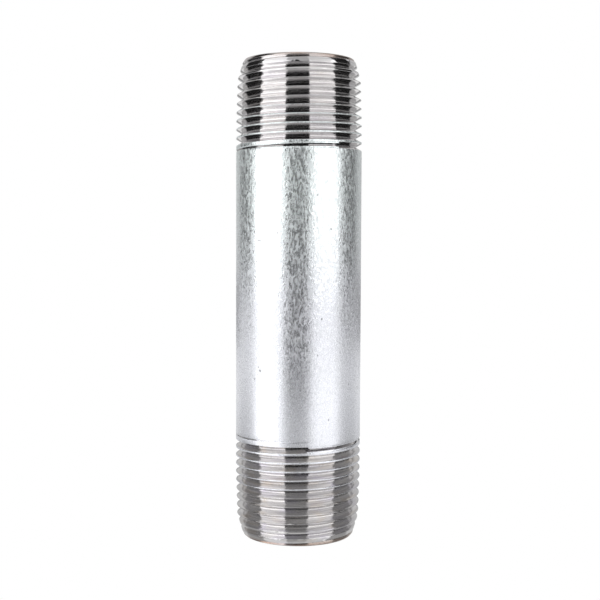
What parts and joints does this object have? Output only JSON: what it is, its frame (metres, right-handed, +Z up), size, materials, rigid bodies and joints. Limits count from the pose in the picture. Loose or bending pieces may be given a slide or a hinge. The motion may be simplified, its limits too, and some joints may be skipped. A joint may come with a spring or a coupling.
{
  "type": "threaded pipe nipple",
  "caption": "Galvanized steel pipe nipple with a plain zinc-coated barrel and a right-hand taper pipe thread on each end.",
  "frame": {"origin": "centre of the lower end face, on the pipe axis", "axes": "+Z up along the pipe axis, -Y towards the viewer in the usual front view; +X to the right"},
  "size_m": [0.0268, 0.0268, 0.1016],
  "materials": {
    "bare_steel": "bright die-cut thread, lightly oiled",
    "outer_zinc": "hot-dip galvanized, satin with fine scratches",
    "inner_zinc": "hot-dip galvanized, dull"
  },
  "bodies": {
    "root": {"steel_pipe": "bare_steel", "outer_zinc_coating": "outer_zinc", "inner_zinc_coating": "inner_zinc"}
  },
  "joints": []
}
